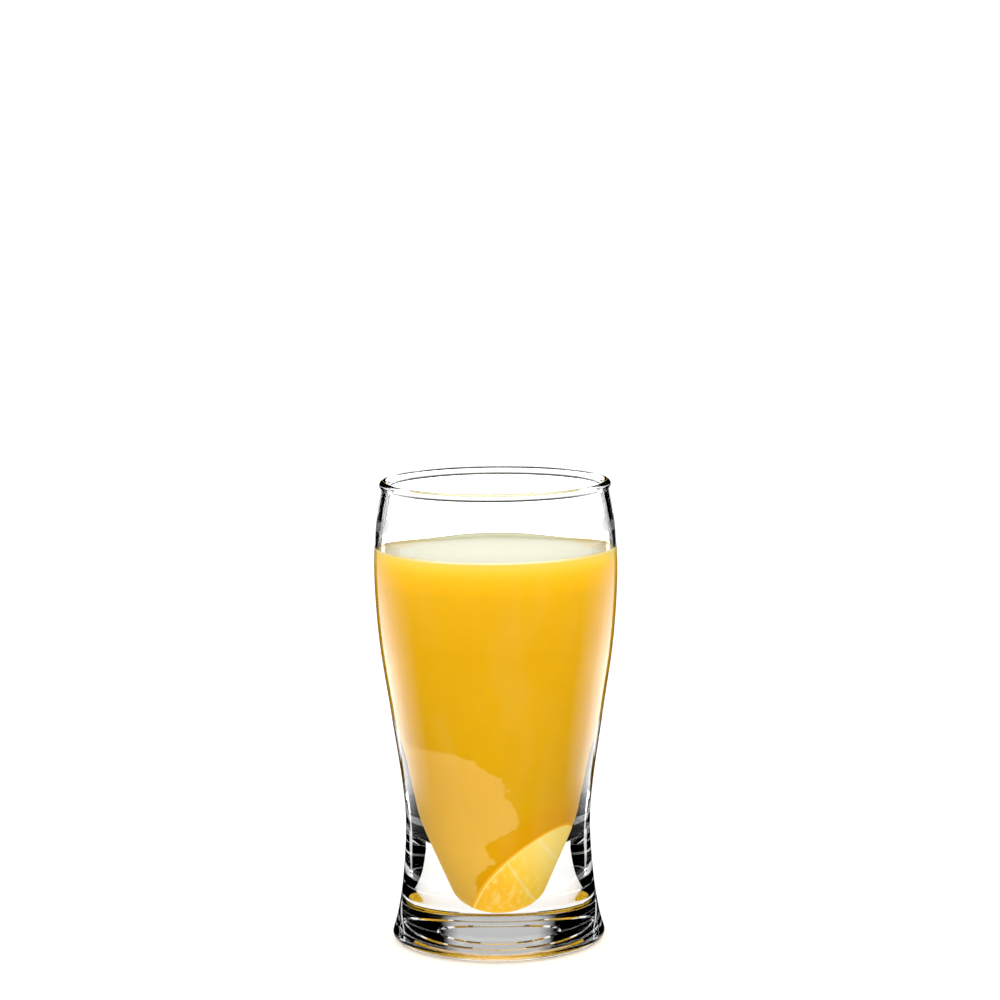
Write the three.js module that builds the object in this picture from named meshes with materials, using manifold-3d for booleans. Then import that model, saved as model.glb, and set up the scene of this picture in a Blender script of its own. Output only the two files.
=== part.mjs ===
// A mango smoothie in a tulip pint glass with a thick, solid base, and the wedge of fruit at its bottom.
// Millimetres, +Z up. The foot stands on z = 0 and the glass is turned about the Z axis.
// The viewer stands at -Y, so the wedge leans against the wall at the front right.

import * as THREE from 'three';
import { mergeVertices } from 'three/addons/utils/BufferGeometryUtils.js';
import Module from 'manifold-3d';

const wasm = await Module();
wasm.setup();

// Driving sizes of the glass.
const GLASS_HEIGHT = 160;
const RIM_RADIUS = 39.7;
const RIM_THICKNESS = 3.0;
const BELLY_RADIUS = 41.8;
const WAIST_RADIUS = 32.0;
const FOOT_RADIUS = 36.9;
const FOOT_EDGE = 1.8;
const RECESS_RADIUS = 28;
const RECESS_DEPTH = 0.5;
const RING_RADII = [14, 22];
const RING_DEPTH = 0.4;
const FLOOR_THICKNESS = 9.5;
const TIP_RADIUS = 11;
const TIP_ANGLE = THREE.MathUtils.degToRad(18);

// Driving sizes of what is in the glass.
const DRINK_LEVEL = 136.5;
const MENISCUS_RISE = 0.8;
const MENISCUS_WIDTH = 3;
const FRUIT_RADIUS = 40;
const FRUIT_CENTRE = new THREE.Vector3(32.2, -9.3, 5.4);
const GAP = 0.3;

// Fineness of the faceted solids.
const TURN_STEPS = 60;
const OUTER_STEPS = 26;
const CAVITY_STEPS = 22;
const ROUND_STEPS = 6;
const BEAD_STEPS = 9;
const FRUIT_STEPS = 72;

const GLASS = new THREE.MeshStandardMaterial({ color: 0xe8eef0, roughness: 0.02, metalness: 0 });
const SMOOTHIE = new THREE.MeshStandardMaterial({ color: 0xedb11d, roughness: 0.35, metalness: 0 });
const FRUIT = new THREE.MeshStandardMaterial({ color: 0xfddd6b, roughness: 0.4, metalness: 0 });

/** A point of a profile: distance from the axis, height. */
const at = (radius, height) => new THREE.Vector2(radius, height);

/** Points along an elliptical arc of a profile, angles in radians from the outward direction. */
function arc(centre, radiusOut, radiusUp, from, to, steps) {
  const curve = new THREE.EllipseCurve(centre.x, centre.y, radiusOut, radiusUp, from, to, to < from);
  return curve.getPoints(steps);
}

/** Points along a smooth curve through the given profile points. */
function smooth(points, steps) {
  return new THREE.SplineCurve(points).getPoints(steps);
}

/** The rounded rim: an upright bead, from under its outer side over the top to under its inner side. */
function rimBead() {
  const half = RIM_THICKNESS / 2;
  const centre = at(RIM_RADIUS - half, GLASS_HEIGHT - half);
  return arc(centre, half, half, -Math.PI / 3, (7 * Math.PI) / 6, BEAD_STEPS);
}

/** The rounded edge of the foot, from the ring it stands on up to where the flare begins. */
function footEdge() {
  const centre = at(FOOT_RADIUS - FOOT_EDGE, FOOT_EDGE);
  return arc(centre, FOOT_EDGE, FOOT_EDGE, -Math.PI / 2, Math.PI / 11, ROUND_STEPS);
}

/** The outside of the glass from the flared foot through the waist and the belly to the neck under the rim. */
function outerWall(foot, neck) {
  return smooth([
    foot,
    at(35.0, 9),
    at(33.2, 20.5),
    at(WAIST_RADIUS, 38.5),
    at(32.95, 54),
    at(36.7, 80),
    at(40.35, 105),
    at(BELLY_RADIUS, 128),
    at(40.95, 145),
    neck,
  ], OUTER_STEPS);
}

/** The inside of the glass from the neck under the rim past the thin belly and down to the round tip. */
function cavityWall(clearance) {
  const tipRadius = TIP_RADIUS - clearance;
  const tipCentre = at(0, FLOOR_THICKNESS + TIP_RADIUS);
  const tip = arc(tipCentre, tipRadius, tipRadius, -TIP_ANGLE, -Math.PI / 2, ROUND_STEPS);
  tip[tip.length - 1].x = 0;
  const neck = rimBead().at(-1);
  const wall = smooth([
    at(neck.x - clearance, neck.y),
    at(38.55 - clearance, 149.5),
    at(39.95 - clearance, 140),
    at(40.3 - clearance, 130),
    at(38.9 - clearance, 116.5),
    at(33.2 - clearance, 101),
    at(25.0 - clearance, 83),
    at(21.0 - clearance, 67),
    at(19.0 - clearance, 53),
    at(17.2 - clearance, 41),
    at(13.7 - clearance, 28),
    tip[0],
  ], CAVITY_STEPS);
  return [...wall.slice(0, -1), ...tip];
}

/** A solid of revolution about Z from a profile that starts and ends on the axis. */
function turned(profile) {
  return new THREE.LatheGeometry(profile, TURN_STEPS).rotateX(Math.PI / 2);
}

/** The closed solid of a geometry, for cutting. */
function solidOf(geometry) {
  const bare = geometry.clone();
  bare.deleteAttribute('normal');
  bare.deleteAttribute('uv');
  const merged = mergeVertices(bare, 1e-4);
  return new wasm.Manifold(new wasm.Mesh({
    numProp: 3,
    vertProperties: new Float32Array(merged.attributes.position.array),
    triVerts: new Uint32Array(merged.index.array),
  }));
}

/** The geometry of a cut solid. */
function geometryOf(solid) {
  const { vertProperties, triVerts } = solid.getMesh();
  const geometry = new THREE.BufferGeometry();
  geometry.setAttribute('position', new THREE.BufferAttribute(new Float32Array(vertProperties), 3));
  geometry.setIndex(new THREE.BufferAttribute(new Uint32Array(triVerts), 1));
  geometry.computeVertexNormals();
  return geometry;
}

/** The underside from the axis out to the ring it stands on: a flat recess with two shallow moulded rings. */
function underside() {
  const ring = (radius) => [
    at(radius - RING_DEPTH, RECESS_DEPTH),
    at(radius, RECESS_DEPTH + RING_DEPTH),
    at(radius + RING_DEPTH, RECESS_DEPTH),
  ];
  return [
    at(0, RECESS_DEPTH),
    ...RING_RADII.flatMap(ring),
    at(RECESS_RADIUS - RECESS_DEPTH, RECESS_DEPTH),
    at(RECESS_RADIUS, 0),
  ];
}

/** The whole glass: underside, foot, outer wall, rim bead and cavity in one turned profile. */
function glass() {
  const bead = rimBead();
  const foot = footEdge();
  const outer = outerWall(foot.at(-1), bead[0]);
  return turned([...underside(), ...foot, ...outer.slice(1, -1), ...bead, ...cavityWall(0).slice(1)]);
}

/** Everything below the drink's surface: the cavity, clear of its wall, up to the level and its meniscus. */
function contents() {
  const wall = cavityWall(GAP);
  const top = DRINK_LEVEL + MENISCUS_RISE;
  const below = wall.findIndex((point) => point.y < top);
  const [upper, lower] = [wall[below - 1], wall[below]];
  const brim = upper.clone().lerp(lower, (upper.y - top) / (upper.y - lower.y));
  const meniscusCentre = at(brim.x - MENISCUS_WIDTH, top);
  const meniscus = arc(meniscusCentre, MENISCUS_WIDTH, MENISCUS_RISE, -Math.PI / 2, 0, ROUND_STEPS);
  return turned([at(0, DRINK_LEVEL), ...meniscus, ...wall.slice(below)].reverse());
}

/** The ball of the whole fruit, whose rind is the wedge's upper face. */
function fruitBall(offset) {
  const ball = new THREE.SphereGeometry(FRUIT_RADIUS + offset, FRUIT_STEPS, FRUIT_STEPS / 2);
  return ball.translate(FRUIT_CENTRE.x, FRUIT_CENTRE.y, FRUIT_CENTRE.z);
}

function mesh(name, geometry, material) {
  const piece = new THREE.Mesh(geometry, material);
  piece.name = name;
  return piece;
}

const filling = solidOf(contents());
const smoothie = filling.subtract(solidOf(fruitBall(GAP / 2)));
const wedge = filling.intersect(solidOf(fruitBall(-GAP / 2)));

const drink = new THREE.Group();
drink.add(mesh('glass', glass(), GLASS));
drink.add(mesh('smoothie', geometryOf(smoothie), SMOOTHIE));
drink.add(mesh('fruit_wedge', geometryOf(wedge), FRUIT));

export default drink;
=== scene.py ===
"""Looks of a mango smoothie in a tulip pint glass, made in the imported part's own frame."""

import logging
import math
from dataclasses import dataclass
from enum import Enum
from typing import Any

import bmesh
import bpy
from mathutils import Matrix, Vector

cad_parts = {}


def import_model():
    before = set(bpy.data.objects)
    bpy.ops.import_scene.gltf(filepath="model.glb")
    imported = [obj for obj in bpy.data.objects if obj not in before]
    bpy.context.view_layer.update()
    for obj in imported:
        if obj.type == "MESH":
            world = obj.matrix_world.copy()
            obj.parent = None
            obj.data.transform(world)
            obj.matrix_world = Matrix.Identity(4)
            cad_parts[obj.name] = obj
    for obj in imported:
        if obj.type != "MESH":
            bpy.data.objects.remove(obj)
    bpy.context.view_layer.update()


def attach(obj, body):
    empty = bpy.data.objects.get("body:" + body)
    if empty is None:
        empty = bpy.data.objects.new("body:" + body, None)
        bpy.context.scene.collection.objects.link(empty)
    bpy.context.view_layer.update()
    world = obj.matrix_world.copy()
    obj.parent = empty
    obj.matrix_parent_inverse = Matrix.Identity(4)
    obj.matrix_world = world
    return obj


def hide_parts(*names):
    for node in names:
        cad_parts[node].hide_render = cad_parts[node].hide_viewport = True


LOG = logging.getLogger("smoothie")
MM = 0.001
CREASE = math.radians(25)
BODY = "root"

# Setting of a smooth step, the range that soft noise hardly leaves, and the range of its crests.
SOFT = {"interpolation_type": "SMOOTHSTEP"}
NOISE_SWING = (0.3, 0.7)
NOISE_CRESTS = (0.45, 0.75)

# Distances of the studio's cards from the glass's axis, in millimetres.
CLOSE = 85
BESIDE = 100
AROUND = 200
FAR = 1100
ROOM = 1300

# Heights of the papers that lie on the table, and of the table under them, in millimetres.
UPPER_PAPER = -0.2
LOWER_PAPER = -0.3
TABLE = -0.4

# Glow of the papers at their start and at their end.
GREY = (0.55, 0.55)
GREY_TO_BLACK = (0.55, 0.0)
LIT_TABLE = (3.0, 3.0)
LIT_FOOT = (2.0, 2.0)

Profile = list[Vector]
Tree = bpy.types.NodeTree
Socket = bpy.types.NodeSocket


def at(radius: float, height: float) -> Vector:
    """A profile point in millimetres: distance from the axis, and height."""
    return Vector((radius, 0.0, height))


def arc(centre: Vector, radius_out: float, radius_up: float, start: float, end: float, steps: int) -> Profile:
    """Points along an elliptical arc of a profile.

    Args:
        centre: Middle of the ellipse.
        radius_out: Half its width away from the axis.
        radius_up: Half its height.
        start: First angle in degrees from the outward direction.
        end: Last angle in degrees.
        steps: Number of stretches between points.

    Returns:
        The points, both ends included.
    """
    points = []
    for step in range(steps + 1):
        angle = math.radians(start + (end - start) * step / steps)
        points.append(centre + at(radius_out * math.cos(angle), radius_up * math.sin(angle)))
    return points


def smooth(knots: Profile, steps: int) -> Profile:
    """Points along a smooth curve through the knots.

    Args:
        knots: Profile points that the curve passes through.
        steps: Number of stretches between two knots.

    Returns:
        The points, first and last knot included.
    """
    padded = [knots[0], *knots, knots[-1]]
    points = [knots[0].copy()]
    for before, here, there, after in zip(padded, padded[1:], padded[2:], padded[3:]):
        leave = (there - before) / 2
        arrive = (after - here) / 2
        for step in range(1, steps + 1):
            t = step / steps
            points.append(
                here * (2 * t**3 - 3 * t**2 + 1)
                + leave * (t**3 - 2 * t**2 + t)
                + there * (3 * t**2 - 2 * t**3)
                + arrive * (t**3 - t**2)
            )
    return points


def linear(hex_colour: str) -> tuple[float, float, float, float]:
    """Turns an sRGB colour to linear.

    Args:
        hex_colour: The sRGB hex value, such as "e9b112".

    Returns:
        The linear colour, opaque.
    """
    channels = [int(hex_colour[i : i + 2], 16) / 255 for i in (0, 2, 4)]
    lit = [c / 12.92 if c <= 0.04045 else ((c + 0.055) / 1.055) ** 2.4 for c in channels]
    return (*lit, 1.0)


def add_node(tree: Tree, kind: str, settings: dict[str, Any] | None = None,
             sockets: dict[Any, Any] | None = None) -> bpy.types.Node:
    """Adds a node with its settings, input values and links.

    Args:
        tree: Node tree that gets the node.
        kind: Blender's name of the node type.
        settings: Properties of the node.
        sockets: Value, or output socket to link, for each input by name or number.

    Returns:
        The new node.
    """
    node = tree.nodes.new(kind)
    for name, value in (settings or {}).items():
        setattr(node, name, value)
    for name, value in (sockets or {}).items():
        if isinstance(value, Socket):
            tree.links.new(value, node.inputs[name])
        else:
            node.inputs[name].default_value = value
    return node


def new_material(name: str) -> tuple[bpy.types.Material, Tree, bpy.types.Node]:
    """An empty node material.

    Args:
        name: Name of the material.

    Returns:
        The material, its node tree and its output node.
    """
    material = bpy.data.materials.new(name)
    material.use_nodes = True
    material.node_tree.nodes.clear()
    output = add_node(material.node_tree, "ShaderNodeOutputMaterial")
    return material, material.node_tree, output


def turned(profile: Profile, steps: int) -> bmesh.types.BMesh:
    """A closed solid of revolution about the Z axis.

    Args:
        profile: Points in millimetres that start and end on the axis.
        steps: Number of steps round the axis.

    Returns:
        The solid, in metres.
    """
    mesh = bmesh.new()
    points = [mesh.verts.new(point * MM) for point in profile]
    edges = [mesh.edges.new(pair) for pair in zip(points, points[1:])]
    bmesh.ops.spin(mesh, geom=points + edges, cent=(0, 0, 0), axis=(0, 0, 1), angle=2 * math.pi,
                   steps=steps, use_merge=True)
    bmesh.ops.remove_doubles(mesh, verts=mesh.verts, dist=1e-7)
    bmesh.ops.dissolve_degenerate(mesh, dist=1e-8, edges=mesh.edges)
    bmesh.ops.recalc_face_normals(mesh, faces=mesh.faces)
    return mesh


def new_object(name: str, mesh: bmesh.types.BMesh, materials: list[bpy.types.Material]) -> bpy.types.Object:
    """Puts a shape into the scene as an object of its own.

    Args:
        name: Name of the object.
        mesh: Its shape in metres, which is used up.
        materials: Its materials, in the order of the faces' numbers.

    Returns:
        The object.
    """
    data = bpy.data.meshes.new(name)
    mesh.to_mesh(data)
    mesh.free()
    for material in materials:
        data.materials.append(material)
    piece = bpy.data.objects.new(name, data)
    bpy.context.scene.collection.objects.link(piece)
    return piece


def finished(name: str, mesh: bmesh.types.BMesh, materials: list[bpy.types.Material], node: str) -> bpy.types.Object:
    """Makes a piece of the object that stands for a solid.

    Args:
        name: Name of the piece.
        mesh: Its shape, in metres, in the part's frame.
        materials: Its materials, in the order of the faces' numbers.
        node: Solid that the piece replaces.

    Returns:
        The piece, riding on the part's body.
    """
    piece = new_object(name, mesh, materials)
    piece.data.shade_smooth()
    piece.data.set_sharp_from_angle(angle=CREASE)
    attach(piece, BODY)
    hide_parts(node)
    LOG.info("%s: %d faces", name, len(piece.data.polygons))
    return piece


@dataclass(frozen=True)
class FruitBall:
    """The round fruit that the wedge was cut from: its rind is the wedge's upper face. Millimetres."""

    radius: float = 40.0
    centre: tuple[float, float, float] = (32.2, -9.3, 5.4)
    turn_steps: int = 192

    def build(self) -> bmesh.types.BMesh:
        """Builds the ball.

        Returns:
            The closed ball, in metres.
        """
        mesh = bmesh.new()
        place = Matrix.Translation(Vector(self.centre) * MM)
        bmesh.ops.create_uvsphere(mesh, u_segments=self.turn_steps, v_segments=self.turn_steps // 2,
                                  radius=self.radius * MM, matrix=place)
        return mesh

    def distance(self, tree: Tree, place: Socket) -> Socket:
        """How far a point lies outside the rind.

        Args:
            tree: Node tree that gets the nodes.
            place: The point in millimetres.

        Returns:
            The socket that gives the distance in millimetres.
        """
        away = add_node(tree, "ShaderNodeVectorMath", {"operation": "DISTANCE"}, {0: place, 1: self.centre})
        beyond = add_node(tree, "ShaderNodeMath", {"operation": "SUBTRACT"},
                          {0: away.outputs["Value"], 1: self.radius})
        return beyond.outputs[0]


def place_in_mm(tree: Tree) -> Socket:
    """The shaded point in the part's frame.

    Args:
        tree: Node tree that gets the nodes.

    Returns:
        The socket of the point in millimetres.
    """
    coordinates = add_node(tree, "ShaderNodeTexCoord")
    scaled = add_node(tree, "ShaderNodeVectorMath", {"operation": "SCALE"},
                      {0: coordinates.outputs["Object"], "Scale": 1 / MM})
    return scaled.outputs["Vector"]


def blotches(tree: Tree, place: Socket, size: tuple[float, float, float], detail: float) -> Socket:
    """A soft random pattern around 0.5 with blotches of a real size.

    Args:
        tree: Node tree that gets the nodes.
        place: The point in millimetres.
        size: Size of a blotch along each axis in millimetres.
        detail: Number of finer layers.

    Returns:
        The socket that gives the pattern.
    """
    scaled = add_node(tree, "ShaderNodeVectorMath", {"operation": "DIVIDE"}, {0: place, 1: size})
    texture = add_node(tree, "ShaderNodeTexNoise", None, {
        "Vector": scaled.outputs["Vector"],
        "Scale": 1.0,
        "Detail": detail,
    })
    return texture.outputs["Fac"]


def waves(tree: Tree, place: Socket, size: float, height: float) -> Socket:
    """The normal of a gently wavy surface.

    Args:
        tree: Node tree that gets the nodes.
        place: The point in millimetres.
        size: Size of a wave in millimetres.
        height: Height of a wave in millimetres.

    Returns:
        The socket of the normal.
    """
    swell = blotches(tree, place, (size, size, size), 1.0)
    bump = add_node(tree, "ShaderNodeBump", None, {"Height": swell, "Distance": height * MM})
    return bump.outputs["Normal"]


def lay(tree: Tree, below: Any, colour: str, measure: Socket, start: float, end: float,
        most: Any = 1.0) -> Socket:
    """Lays a colour over another, more and more as a measure runs from start to end.

    Args:
        tree: Node tree that gets the nodes.
        below: Socket, or linear value, of the colour below.
        colour: sRGB hex value of the colour above.
        measure: Socket of what is measured.
        start: Measure at which the colour above begins.
        end: Measure at which it is full.
        most: How much of it then shows, from 0 to 1, as a number or a socket.

    Returns:
        The socket of the mixed colour.
    """
    amount = add_node(tree, "ShaderNodeMapRange", SOFT, {
        "Value": measure,
        "From Min": start,
        "From Max": end,
        "To Max": most,
    })
    mix = add_node(tree, "ShaderNodeMix", {"data_type": "RGBA"},
                   {0: amount.outputs["Result"], 6: below, 7: linear(colour)})
    return mix.outputs[2]


@dataclass(frozen=True)
class SodaLimeGlass:
    """Pressed and fire-polished soda-lime glass: clear, hard highlights, faintly cool where it is thick.

    The slight waves of the polish, in millimetres, make the dark lines in it run unevenly.
    """

    tint: str = "eaf1f0"
    density: float = 3.0
    ior: float = 1.5
    wave_size: float = 14.0
    wave_height: float = 0.03

    def material(self) -> bpy.types.Material:
        """Makes the finish.

        Returns:
            The clear glass, with the slight absorption of a thick piece.
        """
        material, tree, output = new_material("soda_lime_glass")
        shader = add_node(tree, "ShaderNodeBsdfPrincipled", None, {
            "Base Color": (1.0, 1.0, 1.0, 1.0),
            "Roughness": 0.0,
            "Normal": waves(tree, place_in_mm(tree), self.wave_size, self.wave_height),
            "IOR": self.ior,
            "Transmission Weight": 1.0,
        })
        depth = add_node(tree, "ShaderNodeVolumeAbsorption", None, {
            "Color": linear(self.tint),
            "Density": self.density,
        })
        tree.links.new(shader.outputs["BSDF"], output.inputs["Surface"])
        tree.links.new(depth.outputs["Volume"], output.inputs["Volume"])
        return material


@dataclass(frozen=True)
class MangoPuree:
    """Blended mango and milk seen through the wall: opaque, smooth and golden.

    It is milkier in a patch at the lower left. Painted light makes it bright just under the surface,
    and painted shade makes it deeper beside the fruit. Sizes are in millimetres.
    """

    fruit: FruitBall
    level: float
    milky: str = "e8b547"
    # Painted shade: the deep orange that the drink takes near the fruit.
    painted_shade: str = "e09b06"
    pale: str = "f6d98c"
    # Colours by depth below the surface; the bright top few are painted light from above.
    depth_bands_and_painted_light: tuple[tuple[float, str], ...] = (
        (0.0, "ffe265"), (2.5, "ffd843"), (5.0, "fdca2a"), (8.5, "f5c11f"),
        (12.0, "eab91d"), (19.0, "e5b31b"), (32.0, "dda911"), (50.0, "dba60f"))
    # Right edge of the milky patch: place to the right of the axis, by height.
    patch_edge: tuple[tuple[float, float], ...] = (
        (10.0, -4.5), (28.0, -3.0), (37.0, -2.0), (44.5, 4.3), (54.0, 3.0), (63.0, -1.0), (71.0, -20.0))
    patch_reach: float = 30.0
    patch_blur: float = 0.8
    patch_top_blur: float = 2.0
    ripple_size: tuple[float, float, float] = (7.0, 7.0, 7.0)
    ripple_height: float = 2.5
    # How far the painted shade beside the fruit reaches, and how much of it shows at most.
    painted_shade_reach: float = 14.0
    painted_shade_most: float = 0.85
    streak_size: tuple[float, float, float] = (10.0, 10.0, 120.0)
    streak_most: float = 0.05

    def column(self, tree: Tree, height: Socket) -> Socket:
        """The colour by depth below the surface; its bright top is painted light from above.

        Args:
            tree: Node tree that gets the nodes.
            height: Height of the shaded point in millimetres.

        Returns:
            The socket of the colour.
        """
        deepest = self.depth_bands_and_painted_light[-1][0]
        depth = add_node(tree, "ShaderNodeMapRange", None, {
            "Value": height,
            "From Min": self.level,
            "From Max": self.level - deepest,
        })
        colours = add_node(tree, "ShaderNodeValToRGB", None, {"Fac": depth.outputs["Result"]})
        elements = colours.color_ramp.elements
        while len(elements) < len(self.depth_bands_and_painted_light):
            elements.new(1.0)
        for element, (below, colour) in zip(elements, self.depth_bands_and_painted_light):
            element.position = below / deepest
            element.color = linear(colour)
        return colours.outputs["Color"]

    def patch_side(self, tree: Tree, height: Socket) -> Socket:
        """Where the milky patch ends at a height, before its edge is rippled.

        Args:
            tree: Node tree that gets the nodes.
            height: The height in millimetres.

        Returns:
            The socket of the place to the right of the axis in millimetres.
        """
        low, high = self.patch_edge[0][0], self.patch_edge[-1][0]
        along = add_node(tree, "ShaderNodeMapRange", None,
                         {"Value": height, "From Min": low, "From Max": high})
        curve = add_node(tree, "ShaderNodeFloatCurve", None, {"Value": along.outputs["Result"]})
        points = curve.mapping.curves[0].points
        while len(points) < len(self.patch_edge):
            points.new(0.5, 0.5)
        for point, (up, side) in zip(points, self.patch_edge):
            point.location = ((up - low) / (high - low), side / (2 * self.patch_reach) + 0.5)
        curve.mapping.update()
        edge = add_node(tree, "ShaderNodeMapRange", None, {
            "Value": curve.outputs["Value"],
            "To Min": -self.patch_reach,
            "To Max": self.patch_reach,
        })
        return edge.outputs["Result"]

    def patch(self, tree: Tree, place: Socket, side: Socket, height: Socket) -> Socket:
        """How far a point lies in the milky patch, which has a wavy edge.

        Args:
            tree: Node tree that gets the nodes.
            place: The point in millimetres.
            side: Its place to the right of the axis.
            height: Its height.

        Returns:
            The socket of the amount, from 0 to 1.
        """
        top = self.patch_edge[-1][0]
        ripple = add_node(tree, "ShaderNodeMapRange", SOFT, {
            "Value": blotches(tree, place, self.ripple_size, 2.0),
            "From Min": NOISE_SWING[0],
            "From Max": NOISE_SWING[1],
            "To Min": -self.ripple_height,
            "To Max": self.ripple_height,
        })
        edge = add_node(tree, "ShaderNodeMath", {"operation": "ADD"},
                        {0: self.patch_side(tree, height), 1: ripple.outputs["Result"]})
        inside = add_node(tree, "ShaderNodeMath", {"operation": "SUBTRACT"}, {0: edge.outputs[0], 1: side})
        under_top = add_node(tree, "ShaderNodeMapRange", SOFT,
                             {"Value": height, "From Min": top, "From Max": top - self.patch_top_blur})
        amount = add_node(tree, "ShaderNodeMapRange", SOFT, {
            "Value": inside.outputs[0],
            "From Min": -self.patch_blur,
            "From Max": self.patch_blur,
            "To Max": under_top.outputs["Result"],
        })
        return amount.outputs["Result"]

    def material(self) -> bpy.types.Material:
        """Makes the finish.

        Returns:
            The body of the drink.
        """
        material, tree, output = new_material("mango_puree")
        place = place_in_mm(tree)
        split = add_node(tree, "ShaderNodeSeparateXYZ", None, {0: place})
        height = split.outputs["Z"]
        patch = self.patch(tree, place, split.outputs["X"], height)
        milky = add_node(tree, "ShaderNodeMix", {"data_type": "RGBA"},
                         {0: patch, 6: self.column(tree, height), 7: linear(self.milky)})
        # Painted shade: darker near the fruit's rind, except inside the milky patch.
        painted_shade_amount = add_node(tree, "ShaderNodeMapRange", SOFT,
                                {"Value": patch, "From Min": 1.0, "From Max": 0.0, "To Max": self.painted_shade_most})
        colour = lay(tree, milky.outputs[2], self.painted_shade, self.fruit.distance(tree, place),
                     self.painted_shade_reach, 0.0, painted_shade_amount.outputs["Result"])
        streaks = blotches(tree, place, self.streak_size, 1.0)
        colour = lay(tree, colour, self.pale, streaks, *NOISE_CRESTS, self.streak_most)
        shader = add_node(tree, "ShaderNodeBsdfPrincipled", None, {
            "Base Color": colour,
            "Roughness": 0.6,
            "Specular IOR Level": 0.0,
            "Sheen Weight": 0.7,
            "Sheen Roughness": 0.4,
            "Sheen Tint": linear(self.pale),
        })
        tree.links.new(shader.outputs["BSDF"], output.inputs["Surface"])
        return material


@dataclass(frozen=True)
class PureeSurface:
    """The drink's open surface: wet, pale and creamy with a soft gloss, yellower along the wall at two sides.

    Its pale cream is partly the creamy top and partly painted light from above. Sizes are in millimetres.
    """

    # Partly the creamy top and partly painted light from above.
    cream_and_painted_light: str = "fffcd2"
    edge: str = "ffe795"
    radius: float = 39.0
    edge_width: float = 9.0
    side_start: float = 14.0
    side_full: float = 32.0
    blotch_size: tuple[float, float, float] = (16.0, 16.0, 16.0)
    wander: float = 5.0
    wave_size: float = 12.0
    wave_height: float = 0.15

    def material(self) -> bpy.types.Material:
        """Makes the finish.

        Returns:
            The top of the drink.
        """
        material, tree, output = new_material("puree_surface")
        place = place_in_mm(tree)
        flat = add_node(tree, "ShaderNodeVectorMath", {"operation": "MULTIPLY"},
                        {0: place, 1: (1.0, 1.0, 0.0)})
        away = add_node(tree, "ShaderNodeVectorMath", {"operation": "LENGTH"}, {0: flat.outputs["Vector"]})
        wander = add_node(tree, "ShaderNodeMapRange", SOFT, {
            "Value": blotches(tree, place, self.blotch_size, 2.0),
            "From Min": NOISE_SWING[0],
            "From Max": NOISE_SWING[1],
            "To Min": -self.wander,
            "To Max": self.wander,
        })
        reach = add_node(tree, "ShaderNodeMath", {"operation": "ADD"},
                         {0: away.outputs["Value"], 1: wander.outputs["Result"]})
        split = add_node(tree, "ShaderNodeSeparateXYZ", None, {0: place})
        aside = add_node(tree, "ShaderNodeMath", {"operation": "ABSOLUTE"}, {0: split.outputs["X"]})
        at_sides = add_node(tree, "ShaderNodeMapRange", SOFT, {
            "Value": aside.outputs[0],
            "From Min": self.side_start,
            "From Max": self.side_full,
        })
        colour = lay(tree, linear(self.cream_and_painted_light), self.edge, reach.outputs[0], self.radius - self.edge_width,
                     self.radius, at_sides.outputs["Result"])
        shader = add_node(tree, "ShaderNodeBsdfPrincipled", None, {
            "Base Color": colour,
            "Roughness": 0.2,
            "IOR": 1.36,
            "Normal": waves(tree, place, self.wave_size, self.wave_height),
        })
        tree.links.new(shader.outputs["BSDF"], output.inputs["Surface"])
        return material


@dataclass(frozen=True)
class CitrusFlesh:
    """A cut wedge of yellow fruit against the glass: a deeper rind, thin pale pith and juicy flesh.

    The flesh is riper at one end of the wedge and paler at the other, measured across the membranes.
    Sizes are in millimetres.
    """

    fruit: FruitBall
    rind: str = "f8b428"
    pith: str = "ffe07c"
    flesh: str = "ffcf42"
    ripe: str = "ffc033"
    juicy: str = "ffe17c"
    membrane: str = "fff3cf"
    rind_depth: float = 0.5
    rind_blur: float = 0.4
    pith_depth: float = 0.9
    pith_blur: float = 0.6
    ripe_range: tuple[float, float] = (14.0, 8.0)
    juicy_range: tuple[float, float] = (13.0, 26.0)
    drop_size: tuple[float, float, float] = (1.6, 1.6, 4.0)
    drop_most: float = 0.6
    membrane_width: float = 0.7
    membrane_core: float = 0.2
    membrane_most: float = 0.22
    membrane_facing: tuple[float, float, float] = (0.875, 0.17, 0.451)
    membrane_places: tuple[float, ...] = (13.5, 25.0)

    def material(self) -> bpy.types.Material:
        """Makes the finish.

        Returns:
            The flesh and rind of the wedge.
        """
        material, tree, output = new_material("fruit_flesh")
        place = place_in_mm(tree)
        above = self.fruit.distance(tree, place)
        across = add_node(tree, "ShaderNodeVectorMath", {"operation": "DOT_PRODUCT"},
                          {0: place, 1: self.membrane_facing}).outputs["Value"]
        colour = lay(tree, linear(self.flesh), self.ripe, across, *self.ripe_range)
        colour = lay(tree, colour, self.juicy, across, *self.juicy_range)
        drops = blotches(tree, place, self.drop_size, 1.0)
        colour = lay(tree, colour, self.juicy, drops, *NOISE_CRESTS, self.drop_most)
        for middle in self.membrane_places:
            off = add_node(tree, "ShaderNodeMath", {"operation": "SUBTRACT"}, {0: across, 1: middle})
            gap = add_node(tree, "ShaderNodeMath", {"operation": "ABSOLUTE"}, {0: off.outputs[0]})
            colour = lay(tree, colour, self.membrane, gap.outputs[0], self.membrane_width,
                         self.membrane_core, self.membrane_most)
        colour = lay(tree, colour, self.pith, above, -self.pith_depth - self.pith_blur, -self.pith_depth)
        colour = lay(tree, colour, self.rind, above, -self.rind_depth - self.rind_blur, -self.rind_depth)
        shader = add_node(tree, "ShaderNodeBsdfPrincipled", None, {
            "Base Color": colour,
            "Roughness": 0.5,
            "Specular IOR Level": 0.0,
        })
        tree.links.new(shader.outputs["BSDF"], output.inputs["Surface"])
        return material


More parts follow.
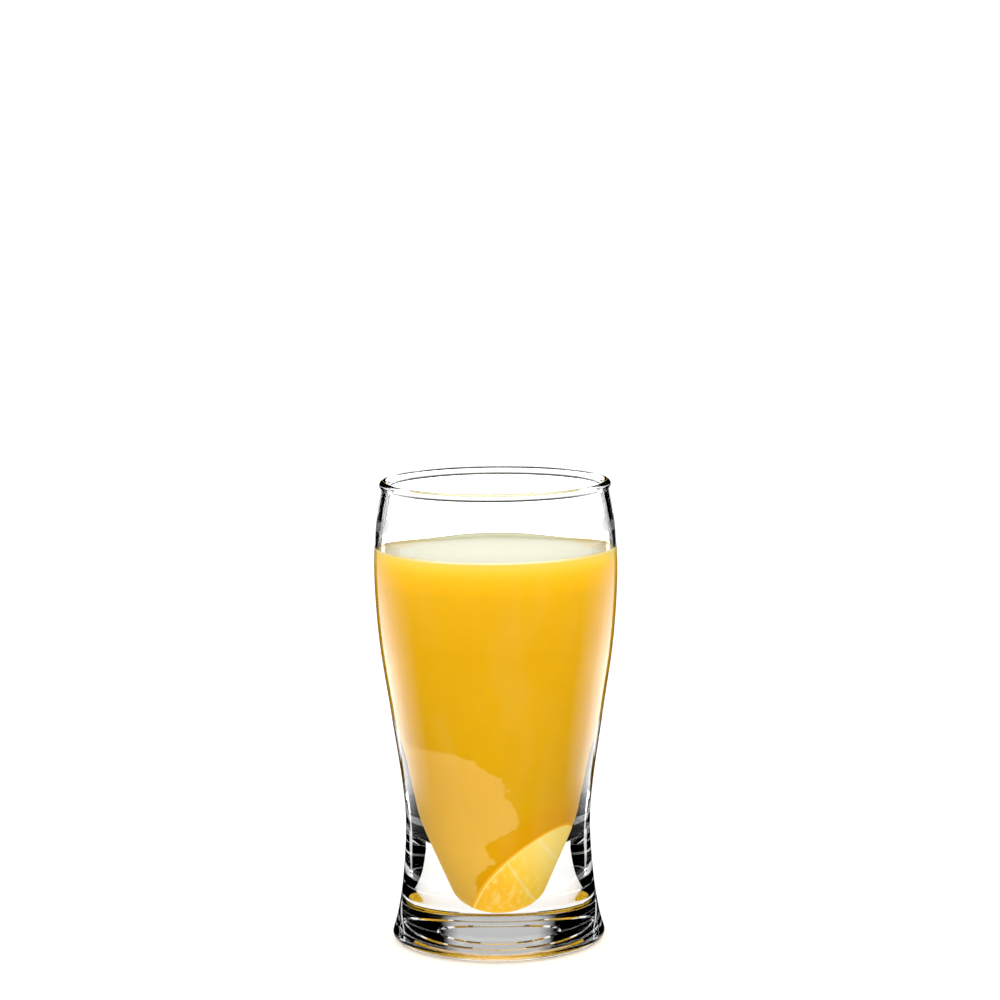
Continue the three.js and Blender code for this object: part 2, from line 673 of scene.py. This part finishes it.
@dataclass
class TulipGlass:
    """The glass: rim bead, belly, waist, flared foot and a cavity that narrows to a round tip.

    Millimetres and degrees.
    """

    height: float = 160.0
    rim_radius: float = 39.7
    rim_thickness: float = 3.0
    belly_radius: float = 41.8
    waist_radius: float = 32.0
    foot_radius: float = 36.9
    foot_edge: float = 1.8
    recess_radius: float = 28.0
    recess_depth: float = 0.5
    ring_radii: tuple[float, ...] = (14.0, 22.0)
    ring_depth: float = 0.4
    floor_thickness: float = 9.5
    tip_radius: float = 11.0
    tip_angle: float = 18.0
    curve_steps: int = 14
    round_steps: int = 16
    turn_steps: int = 192

    def rim_bead(self) -> Profile:
        """The rounded rim.

        Returns:
            The points, from under its outer side over the top to under its inner side.
        """
        half = self.rim_thickness / 2
        centre = at(self.rim_radius - half, self.height - half)
        return arc(centre, half, half, -60, 210, 2 * self.round_steps)

    def underside(self) -> Profile:
        """The flat recess under the foot, with its shallow moulded rings.

        Returns:
            The points, from the axis out to the ring that the foot stands on.
        """
        depth = self.recess_depth
        points = [at(0, depth)]
        for radius in self.ring_radii:
            points.append(at(radius - self.ring_depth, depth))
            points.append(at(radius, depth + self.ring_depth))
            points.append(at(radius + self.ring_depth, depth))
        return [*points, at(self.recess_radius - depth, depth), at(self.recess_radius, 0)]

    def outer_wall(self) -> Profile:
        """The outside of the glass.

        Returns:
            The points, from the middle of the underside round the foot up to the rim.
        """
        edge_centre = at(self.foot_radius - self.foot_edge, self.foot_edge)
        edge = arc(edge_centre, self.foot_edge, self.foot_edge, -90, 180 / 11, self.round_steps)
        wall = smooth([
            edge[-1],
            at(35.0, 9),
            at(33.2, 20.5),
            at(self.waist_radius, 38.5),
            at(32.95, 54),
            at(36.7, 80),
            at(40.35, 105),
            at(self.belly_radius, 128),
            at(40.95, 145),
            self.rim_bead()[0],
        ], self.curve_steps)
        return [*self.underside(), *edge, *wall[1:-1]]

    def cavity_wall(self, proud: float) -> Profile:
        """The inside, from under the rim down to the round tip on the axis.

        Args:
            proud: How far the outline lies inside the glass of the wall.

        Returns:
            The points, from the top down.
        """
        tip_radius = self.tip_radius + proud
        tip_centre = at(0, self.floor_thickness + self.tip_radius)
        tip = arc(tip_centre, tip_radius, tip_radius, -self.tip_angle, -90, self.round_steps)
        tip[-1].x = 0.0
        inside = [
            self.rim_bead()[-1],
            at(38.55, 149.5),
            at(39.95, 140),
            at(40.3, 130),
            at(38.9, 116.5),
            at(33.2, 101),
            at(25.0, 83),
            at(21.0, 67),
            at(19.0, 53),
            at(17.2, 41),
            at(13.7, 28),
        ]
        wall = smooth([point + at(proud, 0) for point in inside] + [tip[0]], self.curve_steps)
        return [*wall[:-1], *tip]

    def build(self, finish: SodaLimeGlass) -> bpy.types.Object:
        """Builds the glass.

        Args:
            finish: What it is made of.

        Returns:
            The piece.
        """
        profile = [*self.outer_wall(), *self.rim_bead(), *self.cavity_wall(0.0)[1:]]
        mesh = turned(profile, self.turn_steps)
        return finished("glass_turned", mesh, [finish.material()], "glass")


class Cut(Enum):
    """Which part of the filling a cut keeps."""

    OUTSIDE = "DIFFERENCE"
    INSIDE = "INTERSECT"


@dataclass
class Contents:
    """What fills the glass: the drink up to its level, and the wedge of fruit sunk in it. Millimetres."""

    glass: TulipGlass
    fruit: FruitBall
    level: float = 136.5
    level_tolerance: float = 0.01
    meniscus_rise: float = 0.8
    meniscus_width: float = 3.0
    drink_proud: float = 0.12
    wedge_proud: float = 0.2
    turn_steps: int = 160
    surface_steps: int = 12
    meniscus_steps: int = 8

    def filling(self, proud: float) -> bmesh.types.BMesh:
        """Everything below the drink's surface.

        Args:
            proud: How far it reaches into the wall, so that no air shows between them.

        Returns:
            The closed solid.
        """
        wall = self.glass.cavity_wall(proud)
        top = self.level + self.meniscus_rise
        below = next(i for i, point in enumerate(wall) if point.z < top)
        upper, lower = wall[below - 1], wall[below]
        brim = upper.lerp(lower, (upper.z - top) / (upper.z - lower.z))
        centre = at(brim.x - self.meniscus_width, top)
        meniscus = arc(centre, self.meniscus_width, self.meniscus_rise, -90, 0, self.meniscus_steps)
        steps = self.surface_steps
        surface = [at(centre.x * step / steps, self.level) for step in range(steps)]
        return turned([*surface, *meniscus, *wall[below:]][::-1], self.turn_steps)

    def cut(self, mesh: bmesh.types.BMesh, operation: Cut) -> bmesh.types.BMesh:
        """Cuts the filling along the fruit's rind.

        Args:
            mesh: The closed filling, which is used up.
            operation: Whether what lies outside or inside the fruit is kept.

        Returns:
            The closed solid that is left.
        """
        filling = new_object("filling", mesh, [])
        ball = new_object("ball", self.fruit.build(), [])
        modifier = filling.modifiers.new("cut", "BOOLEAN")
        modifier.object = ball
        modifier.operation = operation.value
        modifier.solver = "EXACT"
        evaluated = filling.evaluated_get(bpy.context.evaluated_depsgraph_get())
        left = bmesh.new()
        left.from_mesh(evaluated.to_mesh())
        evaluated.to_mesh_clear()
        for block in (filling, ball):
            bpy.data.meshes.remove(block.data)
        bmesh.ops.recalc_face_normals(left, faces=left.faces)
        return left

    def build_drink(self, body: MangoPuree, surface: PureeSurface) -> bpy.types.Object:
        """Builds the drink, with its open surface as a finish of its own.

        Args:
            body: Finish of what touches the glass.
            surface: Finish of the top.

        Returns:
            The piece.
        """
        mesh = self.cut(self.filling(self.drink_proud), Cut.OUTSIDE)
        lowest = (self.level - self.level_tolerance) * MM
        for face in mesh.faces:
            face.material_index = int(face.calc_center_median().z > lowest)
        materials = [body.material(), surface.material()]
        return finished("smoothie_filling", mesh, materials, "smoothie")

    def build_wedge(self, finish: CitrusFlesh) -> bpy.types.Object:
        """Builds the wedge of fruit.

        Args:
            finish: Finish of the wedge.

        Returns:
            The piece.
        """
        mesh = self.cut(self.filling(self.wedge_proud), Cut.INSIDE)
        return finished("fruit_wedge_cut", mesh, [finish.material()], "fruit_wedge")


class Seen(Enum):
    """Which rays see a piece of the stage."""

    BY_ALL = "all"
    THROUGH_GLASS = "only through glass"
    REFLECTED = "only in reflections"


@dataclass(frozen=True)
class Card:
    """A card bent round the glass: a straight line of its outline, turned about the axis.

    Angles are in degrees from the back to the left, and the card stands on the right as well. The line's
    ends are distances from the axis and heights in millimetres. The glow, at the start and at the end, is
    0 for black velvet and 1 for lit white paper. The fade is the share of it that is left at the line's
    last end. A card may be turned about an upright line behind the axis instead.
    """

    name: str
    start: float
    end: float
    first: tuple[float, float]
    last: tuple[float, float]
    seen: Seen
    glow: tuple[float, float] = (0.0, 0.0)
    fade: float = 1.0
    behind: float = 0.0

    def glow_at(self, angle: float, place: Vector) -> float:
        """The glow of a point of the card.

        Args:
            angle: Its angle in degrees.
            place: Its distance from the axis and its height in millimetres.

        Returns:
            The glow.
        """
        share = min(max((angle - self.start) / (self.end - self.start), 0.0), 1.0)
        glow = self.glow[0] + (self.glow[1] - self.glow[0]) * share
        at_last_end = (place - Vector(self.last)).length < 0.01
        return glow * self.fade if at_last_end else glow

    def build(self, side: int, steps: int) -> bmesh.types.BMesh:
        """Builds the card as a sheet whose points carry their glow.

        Args:
            side: 1 for the card on the left, and -1 for the one on the right.
            steps: Number of steps round the axis.

        Returns:
            The sheet, in metres.
        """
        mesh = bmesh.new()
        glow = mesh.verts.layers.float.new("glow")
        turn = Matrix.Rotation(math.radians(side * self.start), 3, "Z")
        ends = [mesh.verts.new(turn @ Vector((0, out, up)) * MM) for out, up in (self.first, self.last)]
        edge = mesh.edges.new(ends)
        bmesh.ops.spin(mesh, geom=[*ends, edge], cent=(0, 0, 0), axis=(0, 0, 1),
                       angle=math.radians(side * (self.end - self.start)), steps=steps)
        for vert in mesh.verts:
            angle = math.degrees(math.atan2(-side * vert.co.x, vert.co.y)) % 360
            place = Vector((math.hypot(vert.co.x, vert.co.y), vert.co.z)) / MM
            vert[glow] = self.glow_at(angle, place)
        bmesh.ops.translate(mesh, verts=mesh.verts, vec=(0, self.behind * MM, 0))
        return mesh


@dataclass
class Studio:
    """Floor, cards, light and camera. Millimetres and degrees."""

    floor_size: float = 40000.0
    floor_white: float = 0.86
    floor_glow: float = 0.3
    sky: float = 1.1
    camera_side: float = 1.66
    camera_distance: float = 1057.6
    camera_height: float = 292.9
    camera_tilt: float = 7.54
    camera_roll: float = -0.5
    camera_lens: float = 112.0
    camera_sensor: float = 36.0
    card_steps: int = 24
    cards: tuple[Card, ...] = (
        # Seen through the solid base: grey in its middle and black at its sides.
        Card("base_middle", 0, 6, (CLOSE, 8), (CLOSE, 45), Seen.THROUGH_GLASS, GREY),
        Card("base_turn", 6, 10, (CLOSE, 8), (CLOSE, 45), Seen.THROUGH_GLASS, GREY_TO_BLACK),
        Card("base_back", 10, 40, (CLOSE, 10), (CLOSE, 45), Seen.THROUGH_GLASS),
        Card("base_edge", 45, 80, (CLOSE, 10), (CLOSE, 40), Seen.THROUGH_GLASS),
        # Seen through the clear waist.
        Card("waist_table", 37, 61, (8, UPPER_PAPER), (75, UPPER_PAPER), Seen.THROUGH_GLASS, behind=32),
        Card("waist_back", 26, 45, (BESIDE, UPPER_PAPER), (BESIDE, 85), Seen.THROUGH_GLASS),
        Card("waist_edge_table", 71, 92, (8, UPPER_PAPER), (85, UPPER_PAPER), Seen.THROUGH_GLASS, behind=32),
        Card("waist_edge", 53, 73, (BESIDE, UPPER_PAPER), (BESIDE, 85), Seen.THROUGH_GLASS),
        # Seen through the rim and the edges of the wall above the drink.
        Card("rim_table", 0, 16, (110, UPPER_PAPER), (300, UPPER_PAPER), Seen.THROUGH_GLASS),
        Card("rim_back", 0, 25, (FAR, 420), (FAR, 1100), Seen.THROUGH_GLASS),
        Card("far", 14, 40, (FAR, 0), (FAR, 230), Seen.THROUGH_GLASS),
        Card("far_table", 14, 40, (640, UPPER_PAPER), (FAR, UPPER_PAPER), Seen.THROUGH_GLASS),
        Card("far_side", 50, 76, (FAR, 0), (FAR, 120), Seen.THROUGH_GLASS),
        # Mirrored by the inner faces of the base and the waist.
        Card("fence", 98, 138, (46, UPPER_PAPER), (46, 17), Seen.THROUGH_GLASS),
        Card("fence_high", 128, 146, (70, 20), (70, 60), Seen.THROUGH_GLASS),
        # Lit paper on the table, which lights the drink from below.
        Card("table_light", 0, 180, (250, LOWER_PAPER), (2500, LOWER_PAPER), Seen.THROUGH_GLASS, LIT_TABLE),
        Card("table_light_side", 95, 138, (45, LOWER_PAPER), (250, LOWER_PAPER), Seen.THROUGH_GLASS,
             LIT_TABLE),
        Card("table_light_front", 138, 180, (45, LOWER_PAPER), (250, LOWER_PAPER), Seen.THROUGH_GLASS,
             LIT_TABLE),
        Card("under_light", 0, 180, (1, LOWER_PAPER), (33, LOWER_PAPER), Seen.THROUGH_GLASS, LIT_FOOT),
        # Mirrored by the outside of the glass: its dark outline, and the dark above and below its pale sides.
        Card("outline", 0, 37, (AROUND, TABLE), (AROUND, 500), Seen.REFLECTED),
        Card("outline_table", 0, 37, (40, LOWER_PAPER), (AROUND, LOWER_PAPER), Seen.REFLECTED),
        Card("above", 37, 110, (205, 120), (205, 500), Seen.REFLECTED),
        Card("low", 14, 110, (CLOSE, 0), (CLOSE, 24), Seen.REFLECTED),
        Card("low_edge", 14, 49, (CLOSE, 24), (CLOSE, 36), Seen.REFLECTED),
        Card("low_table", 14, 110, (40, LOWER_PAPER), (CLOSE, LOWER_PAPER), Seen.REFLECTED),
        # The dark room in front of the glass, so that the front of the drink shows its own colour.
        Card("front", 80, 180, (ROOM, TABLE), (ROOM, 1600), Seen.REFLECTED),
        Card("front_table", 80, 180, (AROUND, LOWER_PAPER), (ROOM, LOWER_PAPER), Seen.REFLECTED),
        Card("front_table_near", 100, 180, (40, LOWER_PAPER), (AROUND, LOWER_PAPER), Seen.REFLECTED),
    )
    # White paper whose reflection makes the drink's sides paler, and the angles at which it starts, is full,
    # begins to fade and ends.
    sheen_glow: float = 3.2
    sheen_angles: tuple[float, ...] = (37, 41, 59, 100)
    # The same for the paper close to the waist, which fades into the black card below it.
    sheen_near_angles: tuple[float, ...] = (49, 51, 70, 108)

    def stage_piece(self, name: str, mesh: bmesh.types.BMesh, material: bpy.types.Material,
                    seen: Seen) -> bpy.types.Object:
        """Adds a piece of the stage.

        Args:
            name: Name of the piece.
            mesh: Its shape in metres.
            material: Its finish.
            seen: Which rays see it.

        Returns:
            The piece.
        """
        piece = new_object(name, mesh, [material])
        if seen is not Seen.BY_ALL:
            piece.visible_camera = False
            piece.visible_diffuse = False
            piece.visible_shadow = False
        piece.visible_glossy = seen is not Seen.THROUGH_GLASS
        piece.visible_transmission = seen is not Seen.REFLECTED
        return piece

    def build_floor(self) -> None:
        """A plain white table, lit a little from below."""
        mesh = bmesh.new()
        bmesh.ops.create_grid(mesh, x_segments=1, y_segments=1, size=self.floor_size * MM / 2)
        bmesh.ops.translate(mesh, verts=mesh.verts, vec=(0, 0, TABLE * MM))
        material, tree, output = new_material("white_table")
        shader = add_node(tree, "ShaderNodeBsdfPrincipled", None, {
            "Base Color": (self.floor_white, self.floor_white, self.floor_white, 1.0),
            "Roughness": 0.9,
            "Specular IOR Level": 0.0,
            "Emission Color": (1.0, 1.0, 1.0, 1.0),
            "Emission Strength": self.floor_glow,
        })
        tree.links.new(shader.outputs["BSDF"], output.inputs["Surface"])
        self.stage_piece("floor", mesh, material, Seen.BY_ALL)

    def card_paper(self) -> bpy.types.Material:
        """Makes the finish of the cards.

        Returns:
            Card that runs from black velvet to white paper lit from behind, by the points' glow.
        """
        material, tree, output = new_material("card_paper")
        glow = add_node(tree, "ShaderNodeAttribute", {"attribute_name": "glow"})
        shader = add_node(tree, "ShaderNodeEmission", None, {"Strength": glow.outputs["Fac"]})
        tree.links.new(shader.outputs["Emission"], output.inputs["Surface"])
        return material

    def sheen_cards(self) -> list[Card]:
        """The white paper, which lies on the table, stands up behind it and fades out at the top.

        Returns:
            Its cards.
        """
        sheets = (
            ("table", self.sheen_angles, (86, LOWER_PAPER), (AROUND, LOWER_PAPER), 1.0),
            ("low", self.sheen_angles, (AROUND, TABLE), (AROUND, 45), 1.0),
            ("high", self.sheen_angles, (AROUND, 45), (AROUND, 125), 0.0),
            ("near", self.sheen_near_angles, (CLOSE, 36), (CLOSE, 24), 0.0),
        )
        glows = (0.0, self.sheen_glow, self.sheen_glow, 0.0)
        cards = []
        for name, angles, first, last, fade in sheets:
            for start, end, *glow in zip(angles, angles[1:], glows, glows[1:]):
                label = f"sheen_{name}_{start}"
                cards.append(Card(label, start, end, first, last, Seen.REFLECTED, tuple(glow), fade))
        return cards

    def build_cards(self) -> None:
        """The cards, which give the clear glass its dark edges and the drink its pale sides."""
        paper = self.card_paper()
        for card in [*self.cards, *self.sheen_cards()]:
            for side in (1, -1):
                mesh = card.build(side, self.card_steps)
                self.stage_piece(f"card_{card.name}_{side}", mesh, paper, card.seen)

    def build_lights(self) -> None:
        """Soft studio light: a white room."""
        world = bpy.data.worlds.new("studio")
        bpy.context.scene.world = world
        world.use_nodes = True
        background = world.node_tree.nodes["Background"]
        background.inputs["Color"].default_value = (1.0, 1.0, 1.0, 1.0)
        background.inputs["Strength"].default_value = self.sky

    def build_camera(self) -> None:
        """The camera at the photograph's viewing angle."""
        lens = bpy.data.cameras.new("camera")
        lens.lens = self.camera_lens
        lens.sensor_width = self.camera_sensor
        camera = bpy.data.objects.new("camera", lens)
        bpy.context.scene.collection.objects.link(camera)
        place = Vector((self.camera_side, -self.camera_distance, self.camera_height)) * MM
        camera.matrix_world = (
            Matrix.Translation(place)
            @ Matrix.Rotation(math.radians(90 - self.camera_tilt), 4, "X")
            @ Matrix.Rotation(math.radians(self.camera_roll), 4, "Z")
        )
        bpy.context.scene.camera = camera

    def build(self) -> None:
        """Sets up the whole stage."""
        self.build_floor()
        self.build_cards()
        self.build_lights()
        self.build_camera()
        bpy.context.scene.view_settings.view_transform = "Standard"


def main() -> None:
    """Builds the drink in its glass on the stage."""
    logging.basicConfig(level=logging.INFO, format="%(name)s: %(message)s")
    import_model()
    glass = TulipGlass()
    glass.build(SodaLimeGlass())
    fruit = FruitBall()
    contents = Contents(glass, fruit)
    contents.build_drink(MangoPuree(fruit, contents.level), PureeSurface())
    contents.build_wedge(CitrusFlesh(fruit))
    Studio().build()


if __name__ == "__main__":
    main()
